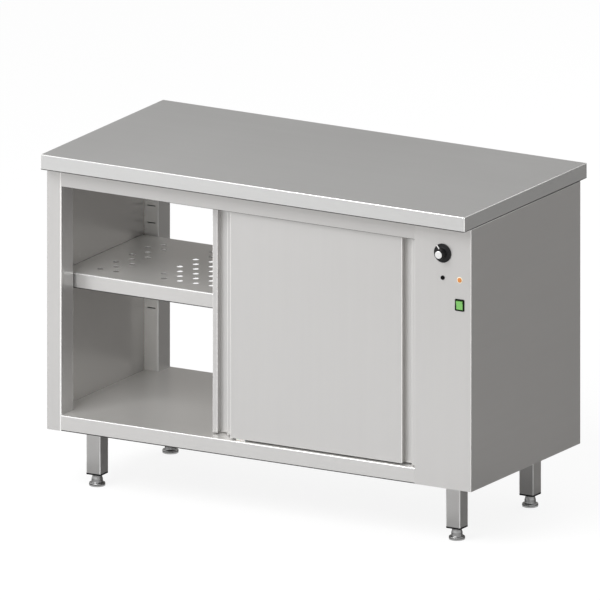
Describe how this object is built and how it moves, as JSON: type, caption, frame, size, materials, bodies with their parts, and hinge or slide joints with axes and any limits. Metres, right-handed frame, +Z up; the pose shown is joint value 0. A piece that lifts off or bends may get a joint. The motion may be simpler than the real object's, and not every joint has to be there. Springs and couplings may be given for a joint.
{
  "type": "plate warmer cabinet",
  "caption": "Heated pass-through plate cupboard: steel worktop on square legs, sliding doors at the front and rear, perforated shelf, and a control column with knob, lamp and switch.",
  "frame": {"origin": "on the floor under the middle of the cabinet", "axes": "+X along the width towards the control column, +Y from the front to the rear, +Z up"},
  "size_m": [1.2, 0.6, 0.855],
  "materials": {
    "satin_steel": "satin stainless steel sheet with a fine grain",
    "worktop_steel": "satin stainless steel sheet, grain along the top",
    "bright_steel": "plain bright sheet steel",
    "board": "plain chipboard",
    "white_nylon": "moulded nylon",
    "foot_metal": "grey cast metal, lightly polished",
    "black_plastic": "black moulded plastic",
    "cap_metal": "spun disc with a circular grain",
    "amber_lens": "orange lens with a pale rim",
    "green_rocker": "translucent green",
    "heater_steel": "dark heat-tinted tube",
    "fan_metal": "plain pressed sheet",
    "plated_steel": "zinc-plated steel"
  },
  "bodies": {
    "cabinet": {"worktop_skin": "worktop_steel", "worktop_board": "board", "worktop_channels": "bright_steel", "left_side_panel": "satin_steel", "right_side_panel": "satin_steel", "left_posts": "satin_steel", "right_posts": "satin_steel", "control_panel": "satin_steel", "service_cover": "satin_steel", "cover_screws": "plated_steel", "partition_wall": "satin_steel", "top_rails": "satin_steel", "chamber_ceiling": "satin_steel", "front_door_track": "bright_steel", "rear_door_track": "bright_steel", "cabinet_floor": "satin_steel", "door_guides": "white_nylon", "shelf": "satin_steel", "shelf_brackets": "bright_steel", "leg_frames": "satin_steel", "leg_inserts": "black_plastic", "thermostats": "black_plastic", "pilot_lamp": "amber_lens", "power_switch": "black_plastic", "heater_element": "heater_steel", "fan_motor": "fan_metal", "cable_gland": "black_plastic"},
    "front_outer_sliding_door": {"front_outer_door": "satin_steel", "front_outer_back": "satin_steel", "front_outer_hangers": "plated_steel"},
    "front_outer_wheel_l": {"front_outer_roller_l": "white_nylon"},
    "front_outer_wheel_r": {"front_outer_roller_r": "white_nylon"},
    "front_inner_sliding_door": {"front_inner_door": "satin_steel", "front_inner_back": "satin_steel", "front_inner_hangers": "plated_steel"},
    "front_inner_wheel_l": {"front_inner_roller_l": "white_nylon"},
    "front_inner_wheel_r": {"front_inner_roller_r": "white_nylon"},
    "rear_outer_sliding_door": {"rear_outer_door": "satin_steel", "rear_outer_back": "satin_steel", "rear_outer_hangers": "plated_steel"},
    "rear_outer_wheel_l": {"rear_outer_roller_l": "white_nylon"},
    "rear_outer_wheel_r": {"rear_outer_roller_r": "white_nylon"},
    "rear_inner_sliding_door": {"rear_inner_door": "satin_steel", "rear_inner_back": "satin_steel", "rear_inner_hangers": "plated_steel"},
    "rear_inner_wheel_l": {"rear_inner_roller_l": "white_nylon"},
    "rear_inner_wheel_r": {"rear_inner_roller_r": "white_nylon"},
    "pad_fl": {"foot_pad_fl": "foot_metal"},
    "stem_fl": {"foot_stem_fl": "foot_metal"},
    "pad_fr": {"foot_pad_fr": "foot_metal"},
    "stem_fr": {"foot_stem_fr": "foot_metal"},
    "pad_rl": {"foot_pad_rl": "foot_metal"},
    "stem_rl": {"foot_stem_rl": "foot_metal"},
    "pad_rr": {"foot_pad_rr": "foot_metal"},
    "stem_rr": {"foot_stem_rr": "foot_metal"},
    "knob": {"thermostat_knob": "black_plastic", "knob_cap": "cap_metal"},
    "button": {"reset_button": "black_plastic"},
    "rocker": {"switch_rocker": "green_rocker"},
    "fan": {"fan_impeller": "fan_metal"}
  },
  "joints": [
    {"name": "front_outer_slide", "type": "slide", "parent": "cabinet", "child": "front_outer_sliding_door", "axis": [1, 0, 0], "range_m": [-0.406, 0]},
    {"name": "front_outer_wheel_l_roll", "type": "hinge", "parent": "front_outer_sliding_door", "child": "front_outer_wheel_l", "pos_m": [-0.029, -0.25225, 0.801], "axis": [0, 1, 0], "range_deg": [-2327, 0]},
    {"name": "front_outer_wheel_r_roll", "type": "hinge", "parent": "front_outer_sliding_door", "child": "front_outer_wheel_r", "pos_m": [0.379, -0.25225, 0.801], "axis": [0, 1, 0], "range_deg": [-2327, 0]},
    {"name": "front_inner_slide", "type": "slide", "parent": "cabinet", "child": "front_inner_sliding_door", "axis": [1, 0, 0], "range_m": [-0.406, 0]},
    {"name": "front_inner_wheel_l_roll", "type": "hinge", "parent": "front_inner_sliding_door", "child": "front_inner_wheel_l", "pos_m": [-0.093, -0.22725, 0.801], "axis": [0, 1, 0], "range_deg": [-2327, 0]},
    {"name": "front_inner_wheel_r_roll", "type": "hinge", "parent": "front_inner_sliding_door", "child": "front_inner_wheel_r", "pos_m": [0.315, -0.22725, 0.801], "axis": [0, 1, 0], "range_deg": [-2327, 0]},
    {"name": "rear_outer_slide", "type": "slide", "parent": "cabinet", "child": "rear_outer_sliding_door", "axis": [1, 0, 0], "range_m": [-0.406, 0]},
    {"name": "rear_outer_wheel_l_roll", "type": "hinge", "parent": "rear_outer_sliding_door", "child": "rear_outer_wheel_l", "pos_m": [-0.029, 0.25225, 0.801], "axis": [0, 1, 0], "range_deg": [-2327, 0]},
    {"name": "rear_outer_wheel_r_roll", "type": "hinge", "parent": "rear_outer_sliding_door", "child": "rear_outer_wheel_r", "pos_m": [0.379, 0.25225, 0.801], "axis": [0, 1, 0], "range_deg": [-2327, 0]},
    {"name": "rear_inner_slide", "type": "slide", "parent": "cabinet", "child": "rear_inner_sliding_door", "axis": [1, 0, 0], "range_m": [-0.406, 0]},
    {"name": "rear_inner_wheel_l_roll", "type": "hinge", "parent": "rear_inner_sliding_door", "child": "rear_inner_wheel_l", "pos_m": [-0.093, 0.22725, 0.801], "axis": [0, 1, 0], "range_deg": [-2327, 0]},
    {"name": "rear_inner_wheel_r_roll", "type": "hinge", "parent": "rear_inner_sliding_door", "child": "rear_inner_wheel_r", "pos_m": [0.315, 0.22725, 0.801], "axis": [0, 1, 0], "range_deg": [-2327, 0]},
    {"name": "foot_fl_height", "type": "slide", "parent": "cabinet", "child": "pad_fl", "axis": [0, 0, -1], "range_m": [0, 0.025]},
    {"name": "foot_fl_screw", "type": "hinge", "parent": "pad_fl", "child": "stem_fl", "pos_m": [-0.509, -0.1795, 0.02], "axis": [0, 0, -1], "range_deg": [0, 6001]},
    {"name": "foot_fr_height", "type": "slide", "parent": "cabinet", "child": "pad_fr", "axis": [0, 0, -1], "range_m": [0, 0.025]},
    {"name": "foot_fr_screw", "type": "hinge", "parent": "pad_fr", "child": "stem_fr", "pos_m": [0.509, -0.1795, 0.02], "axis": [0, 0, -1], "range_deg": [0, 6001]},
    {"name": "foot_rl_height", "type": "slide", "parent": "cabinet", "child": "pad_rl", "axis": [0, 0, -1], "range_m": [0, 0.025]},
    {"name": "foot_rl_screw", "type": "hinge", "parent": "pad_rl", "child": "stem_rl", "pos_m": [-0.509, 0.1795, 0.02], "axis": [0, 0, -1], "range_deg": [0, 6001]},
    {"name": "foot_rr_height", "type": "slide", "parent": "cabinet", "child": "pad_rr", "axis": [0, 0, -1], "range_m": [0, 0.025]},
    {"name": "foot_rr_screw", "type": "hinge", "parent": "pad_rr", "child": "stem_rr", "pos_m": [0.509, 0.1795, 0.02], "axis": [0, 0, -1], "range_deg": [0, 6001]},
    {"name": "knob_turn", "type": "hinge", "parent": "cabinet", "child": "knob", "pos_m": [0.52, -0.27, 0.7475], "axis": [0, 1, 0], "range_deg": [0, 270]},
    {"name": "reset_press", "type": "slide", "parent": "cabinet", "child": "button", "axis": [0, 1, 0], "range_m": [0, 0.002], "stiffness_N_per_m": 400, "springref_m": -0.001},
    {"name": "rocker_tip", "type": "hinge", "parent": "cabinet", "child": "rocker", "pos_m": [0.568, -0.265, 0.6215], "axis": [1, 0, 0], "range_deg": [-16, 0]},
    {"name": "fan_turn", "type": "hinge", "parent": "cabinet", "child": "fan", "pos_m": [0.51, 0, 0.331], "axis": [1, 0, 0], "continuous": true}
  ],
  "couplings": [
    {"joint": "front_outer_wheel_l_roll", "follows": "front_outer_slide", "rad_per_m": 100},
    {"joint": "front_outer_wheel_r_roll", "follows": "front_outer_slide", "rad_per_m": 100},
    {"joint": "front_inner_wheel_l_roll", "follows": "front_inner_slide", "rad_per_m": 100},
    {"joint": "front_inner_wheel_r_roll", "follows": "front_inner_slide", "rad_per_m": 100},
    {"joint": "rear_outer_wheel_l_roll", "follows": "rear_outer_slide", "rad_per_m": 100},
    {"joint": "rear_outer_wheel_r_roll", "follows": "rear_outer_slide", "rad_per_m": 100},
    {"joint": "rear_inner_wheel_l_roll", "follows": "rear_inner_slide", "rad_per_m": 100},
    {"joint": "rear_inner_wheel_r_roll", "follows": "rear_inner_slide", "rad_per_m": 100},
    {"joint": "foot_fl_screw", "follows": "foot_fl_height", "rad_per_m": 4188.8},
    {"joint": "foot_fr_screw", "follows": "foot_fr_height", "rad_per_m": 4188.8},
    {"joint": "foot_rl_screw", "follows": "foot_rl_height", "rad_per_m": 4188.8},
    {"joint": "foot_rr_screw", "follows": "foot_rr_height", "rad_per_m": 4188.8}
  ]
}
